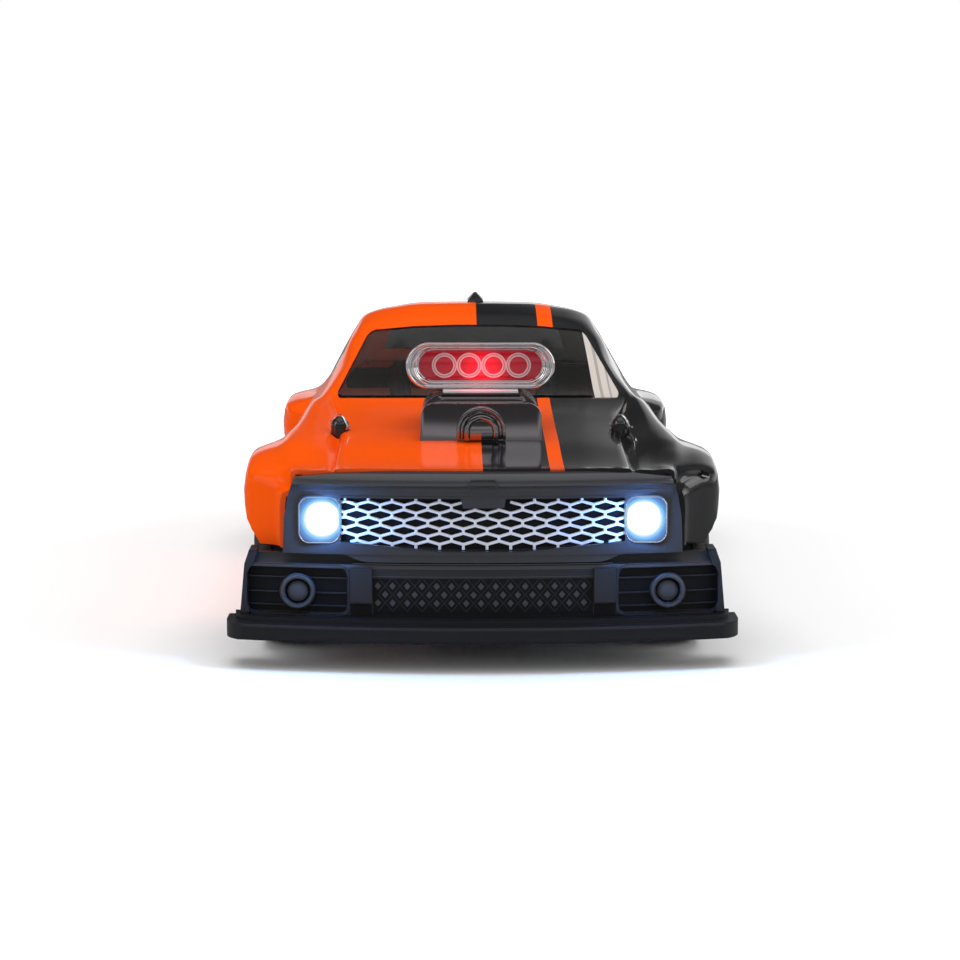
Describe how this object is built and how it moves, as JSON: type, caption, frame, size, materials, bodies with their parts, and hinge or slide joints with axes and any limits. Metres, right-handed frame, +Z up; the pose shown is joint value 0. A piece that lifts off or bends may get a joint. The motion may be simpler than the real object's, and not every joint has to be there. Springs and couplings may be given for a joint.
{
  "type": "radio-controlled drift car",
  "caption": "Radio-controlled drift car: two-tone moulded shell with lit blower scoop and lamps over a chassis with sprung arms, steering and driven rear wheels.",
  "frame": {"origin": "centre of the car's footprint, on the ground under the tyres", "axes": "+Z up, the nose points to -Y, +X to the car's left"},
  "size_m": [0.133, 0.28, 0.0864],
  "materials": {
    "tub_plastic": "fine-textured black nylon",
    "cast_grey": "moulded grey-black nylon",
    "motor_can": "zinc-plated steel can",
    "electronics_black": "matt black case",
    "battery_wrap": "dark blue shrink wrap",
    "shell_paint": "gloss paint, right half orange, left half black",
    "smoked_glazing": "smoked clear plastic",
    "bumper_plastic": "satin black, finely grained",
    "nose_black": "gloss black",
    "grille_white": "white-silver print",
    "lamp_bowl": "vacuum-metallised bowl",
    "lamp_clear": "clear lens, lit cold white",
    "dark_chrome": "smoked chrome plating",
    "bright_chrome": "bright chrome plating",
    "red_lens": "clear red, lit from behind, silver rings",
    "post_black": "polished black nylon",
    "clip_wire": "bright spring wire",
    "suspension_nylon": "moulded black nylon",
    "steel": "plain steel",
    "rim_plastic": "gloss black wheel",
    "tyre_rubber": "slick hard rubber",
    "damper_metal": "turned aluminium",
    "spring_red": "red coated wire",
    "gear_white": "white acetal",
    "pinion_brass": "machined brass"
  },
  "bodies": {
    "chassis": {"chassis_tub": "tub_plastic", "front_bulkhead": "cast_grey", "gearbox": "cast_grey", "shock_towers": "tub_plastic", "body_mounts": "cast_grey", "motor": "motor_can", "steering_servo": "electronics_black", "receiver_esc": "electronics_black", "battery_pack": "battery_wrap", "body_shell": "shell_paint", "windows": "smoked_glazing", "front_bumper": "bumper_plastic", "rear_bumper": "bumper_plastic", "nose_panel": "nose_black", "upper_grille": "grille_white", "headlight_buckets": "lamp_bowl", "headlight_lenses": "lamp_clear", "blower_case": "dark_chrome", "air_scoop": "bright_chrome", "scoop_lens": "red_lens", "body_posts": "post_black", "body_clips": "clip_wire", "roof_fin": "shell_paint", "coil_springs": "spring_red"},
    "drag_bar": {"drag_bar": "suspension_nylon"},
    "servo_horn": {"servo_horn": "gear_white"},
    "axle_gear": {"axle_gear": "gear_white"},
    "motor_pinion": {"motor_pinion": "pinion_brass"},
    "arm_fl": {"lower_arm_fl": "suspension_nylon"},
    "hub_fl": {"c_hub_fl": "suspension_nylon"},
    "wheel_fl": {"rim_fl": "rim_plastic", "tyre_fl": "tyre_rubber"},
    "link_fl": {"upper_link_fl": "suspension_nylon"},
    "damper_fl": {"shock_cylinder_fl": "damper_metal"},
    "damper_rod_fl": {"shock_rod_fl": "steel"},
    "knuckle_fl": {"knuckle_fl": "suspension_nylon"},
    "arm_fr": {"lower_arm_fr": "suspension_nylon"},
    "hub_fr": {"c_hub_fr": "suspension_nylon"},
    "wheel_fr": {"rim_fr": "rim_plastic", "tyre_fr": "tyre_rubber"},
    "link_fr": {"upper_link_fr": "suspension_nylon"},
    "damper_fr": {"shock_cylinder_fr": "damper_metal"},
    "damper_rod_fr": {"shock_rod_fr": "steel"},
    "knuckle_fr": {"knuckle_fr": "suspension_nylon"},
    "arm_rl": {"lower_arm_rl": "suspension_nylon"},
    "hub_rl": {"rear_upright_rl": "suspension_nylon"},
    "wheel_rl": {"rim_rl": "rim_plastic", "tyre_rl": "tyre_rubber"},
    "link_rl": {"upper_link_rl": "suspension_nylon"},
    "damper_rl": {"shock_cylinder_rl": "damper_metal"},
    "damper_rod_rl": {"shock_rod_rl": "steel"},
    "half_shaft_rl": {"half_shaft_rl": "steel"},
    "arm_rr": {"lower_arm_rr": "suspension_nylon"},
    "hub_rr": {"rear_upright_rr": "suspension_nylon"},
    "wheel_rr": {"rim_rr": "rim_plastic", "tyre_rr": "tyre_rubber"},
    "link_rr": {"upper_link_rr": "suspension_nylon"},
    "damper_rr": {"shock_cylinder_rr": "damper_metal"},
    "damper_rod_rr": {"shock_rod_rr": "steel"},
    "half_shaft_rr": {"half_shaft_rr": "steel"}
  },
  "joints": [
    {"name": "arm_fl_swing", "type": "hinge", "parent": "chassis", "child": "arm_fl", "pos_m": [0.014, -0.092, 0.014], "axis": [0, -1, 0], "range_deg": [-8, 6], "stiffness_Nm_per_rad": 0.5, "springref_deg": -2.58, "deforming": ["coil_springs"]},
    {"name": "hub_fl_swing", "type": "hinge", "parent": "arm_fl", "child": "hub_fl", "pos_m": [0.033, -0.092, 0.014], "axis": [0, -1, 0], "range_deg": [-7, 9]},
    {"name": "link_fl_swing", "type": "hinge", "parent": "chassis", "child": "link_fl", "pos_m": [0.014, -0.0905, 0.032], "axis": [0, -1, 0], "range_deg": [-9, 7]},
    {"name": "damper_fl_swing", "type": "hinge", "parent": "chassis", "child": "damper_fl", "pos_m": [0.024, -0.1015, 0.044], "axis": [0, -1, 0], "range_deg": [-2, 2]},
    {"name": "damper_rod_fl_swing", "type": "hinge", "parent": "arm_fl", "child": "damper_rod_fl", "pos_m": [0.0275, -0.1015, 0.0184], "axis": [0, -1, 0], "range_deg": [-8, 10]},
    {"name": "steer_fl", "type": "hinge", "parent": "hub_fl", "child": "knuckle_fl", "pos_m": [0.036, -0.092, 0.023], "axis": [0, 0, 1], "range_deg": [-25, 25]},
    {"name": "wheel_fl_spin", "type": "hinge", "parent": "knuckle_fl", "child": "wheel_fl", "pos_m": [0.05, -0.092, 0.023], "axis": [1, 0, 0], "continuous": true},
    {"name": "arm_fr_swing", "type": "hinge", "parent": "chassis", "child": "arm_fr", "pos_m": [-0.014, -0.092, 0.014], "axis": [0, 1, 0], "range_deg": [-8, 6], "stiffness_Nm_per_rad": 0.5, "springref_deg": -2.58, "deforming": ["coil_springs"]},
    {"name": "hub_fr_swing", "type": "hinge", "parent": "arm_fr", "child": "hub_fr", "pos_m": [-0.033, -0.092, 0.014], "axis": [0, 1, 0], "range_deg": [-7, 9]},
    {"name": "link_fr_swing", "type": "hinge", "parent": "chassis", "child": "link_fr", "pos_m": [-0.014, -0.0905, 0.032], "axis": [0, 1, 0], "range_deg": [-9, 7]},
    {"name": "damper_fr_swing", "type": "hinge", "parent": "chassis", "child": "damper_fr", "pos_m": [-0.024, -0.1015, 0.044], "axis": [0, 1, 0], "range_deg": [-2, 2]},
    {"name": "damper_rod_fr_swing", "type": "hinge", "parent": "arm_fr", "child": "damper_rod_fr", "pos_m": [-0.0275, -0.1015, 0.0184], "axis": [0, 1, 0], "range_deg": [-8, 10]},
    {"name": "steer_fr", "type": "hinge", "parent": "hub_fr", "child": "knuckle_fr", "pos_m": [-0.036, -0.092, 0.023], "axis": [0, 0, 1], "range_deg": [-25, 25]},
    {"name": "wheel_fr_spin", "type": "hinge", "parent": "knuckle_fr", "child": "wheel_fr", "pos_m": [-0.05, -0.092, 0.023], "axis": [1, 0, 0], "continuous": true},
    {"name": "arm_rl_swing", "type": "hinge", "parent": "chassis", "child": "arm_rl", "pos_m": [0.014, 0.082, 0.014], "axis": [0, -1, 0], "range_deg": [-8, 6], "stiffness_Nm_per_rad": 0.5, "springref_deg": -2.58, "deforming": ["coil_springs"]},
    {"name": "hub_rl_swing", "type": "hinge", "parent": "arm_rl", "child": "hub_rl", "pos_m": [0.033, 0.082, 0.014], "axis": [0, -1, 0], "range_deg": [-7, 9]},
    {"name": "link_rl_swing", "type": "hinge", "parent": "chassis", "child": "link_rl", "pos_m": [0.014, 0.0805, 0.032], "axis": [0, -1, 0], "range_deg": [-9, 7]},
    {"name": "damper_rl_swing", "type": "hinge", "parent": "chassis", "child": "damper_rl", "pos_m": [0.024, 0.0915, 0.044], "axis": [0, -1, 0], "range_deg": [-2, 2]},
    {"name": "damper_rod_rl_swing", "type": "hinge", "parent": "arm_rl", "child": "damper_rod_rl", "pos_m": [0.0275, 0.0915, 0.0184], "axis": [0, -1, 0], "range_deg": [-8, 10]},
    {"name": "wheel_rl_spin", "type": "hinge", "parent": "hub_rl", "child": "wheel_rl", "pos_m": [0.05, 0.082, 0.023], "axis": [1, 0, 0], "continuous": true},
    {"name": "half_shaft_rl_spin", "type": "hinge", "parent": "arm_rl", "child": "half_shaft_rl", "pos_m": [0.022, 0.082, 0.023], "axis": [1, 0, 0], "continuous": true},
    {"name": "arm_rr_swing", "type": "hinge", "parent": "chassis", "child": "arm_rr", "pos_m": [-0.014, 0.082, 0.014], "axis": [0, 1, 0], "range_deg": [-8, 6], "stiffness_Nm_per_rad": 0.5, "springref_deg": -2.58, "deforming": ["coil_springs"]},
    {"name": "hub_rr_swing", "type": "hinge", "parent": "arm_rr", "child": "hub_rr", "pos_m": [-0.033, 0.082, 0.014], "axis": [0, 1, 0], "range_deg": [-7, 9]},
    {"name": "link_rr_swing", "type": "hinge", "parent": "chassis", "child": "link_rr", "pos_m": [-0.014, 0.0805, 0.032], "axis": [0, 1, 0], "range_deg": [-9, 7]},
    {"name": "damper_rr_swing", "type": "hinge", "parent": "chassis", "child": "damper_rr", "pos_m": [-0.024, 0.0915, 0.044], "axis": [0, 1, 0], "range_deg": [-2, 2]},
    {"name": "damper_rod_rr_swing", "type": "hinge", "parent": "arm_rr", "child": "damper_rod_rr", "pos_m": [-0.0275, 0.0915, 0.0184], "axis": [0, 1, 0], "range_deg": [-8, 10]},
    {"name": "wheel_rr_spin", "type": "hinge", "parent": "hub_rr", "child": "wheel_rr", "pos_m": [-0.05, 0.082, 0.023], "axis": [1, 0, 0], "continuous": true},
    {"name": "half_shaft_rr_spin", "type": "hinge", "parent": "arm_rr", "child": "half_shaft_rr", "pos_m": [-0.022, 0.082, 0.023], "axis": [1, 0, 0], "continuous": true},
    {"name": "drag_bar_slide", "type": "slide", "parent": "chassis", "child": "drag_bar", "axis": [1, 0, 0], "range_m": [-0.0062, 0.0062]},
    {"name": "servo_horn_turn", "type": "hinge", "parent": "chassis", "child": "servo_horn", "pos_m": [0, -0.064, 0.033], "axis": [0, 0, 1], "range_deg": [-26, 26]},
    {"name": "axle_gear_spin", "type": "hinge", "parent": "chassis", "child": "axle_gear", "pos_m": [0, 0.082, 0.023], "axis": [1, 0, 0], "continuous": true},
    {"name": "motor_pinion_spin", "type": "hinge", "parent": "chassis", "child": "motor_pinion", "pos_m": [0, 0.06578, 0.026], "axis": [1, 0, 0], "continuous": true}
  ],
  "couplings": [
    {"joint": "hub_fl_swing", "follows": "arm_fl_swing", "ratio": -1},
    {"joint": "link_fl_swing", "follows": "arm_fl_swing", "ratio": 1},
    {"joint": "damper_fl_swing", "follows": "arm_fl_swing", "ratio": -0.089},
    {"joint": "damper_rod_fl_swing", "follows": "arm_fl_swing", "ratio": -1.089},
    {"joint": "hub_fr_swing", "follows": "arm_fr_swing", "ratio": -1},
    {"joint": "link_fr_swing", "follows": "arm_fr_swing", "ratio": 1},
    {"joint": "damper_fr_swing", "follows": "arm_fr_swing", "ratio": -0.089},
    {"joint": "damper_rod_fr_swing", "follows": "arm_fr_swing", "ratio": -1.089},
    {"joint": "hub_rl_swing", "follows": "arm_rl_swing", "ratio": -1},
    {"joint": "link_rl_swing", "follows": "arm_rl_swing", "ratio": 1},
    {"joint": "damper_rl_swing", "follows": "arm_rl_swing", "ratio": -0.089},
    {"joint": "damper_rod_rl_swing", "follows": "arm_rl_swing", "ratio": -1.089},
    {"joint": "half_shaft_rl_spin", "follows": "wheel_rl_spin", "ratio": 1},
    {"joint": "hub_rr_swing", "follows": "arm_rr_swing", "ratio": -1},
    {"joint": "link_rr_swing", "follows": "arm_rr_swing", "ratio": 1},
    {"joint": "damper_rr_swing", "follows": "arm_rr_swing", "ratio": -0.089},
    {"joint": "damper_rod_rr_swing", "follows": "arm_rr_swing", "ratio": -1.089},
    {"joint": "half_shaft_rr_spin", "follows": "wheel_rl_spin", "ratio": 1},
    {"joint": "wheel_rr_spin", "follows": "wheel_rl_spin", "ratio": 1},
    {"joint": "steer_fr", "follows": "steer_fl", "ratio": 1},
    {"joint": "drag_bar_slide", "follows": "steer_fl", "m_per_rad": -0.0137},
    {"joint": "servo_horn_turn", "follows": "steer_fl", "ratio": -1},
    {"joint": "axle_gear_spin", "follows": "wheel_rl_spin", "ratio": 1},
    {"joint": "motor_pinion_spin", "follows": "wheel_rl_spin", "ratio": -2.6667}
  ]
}
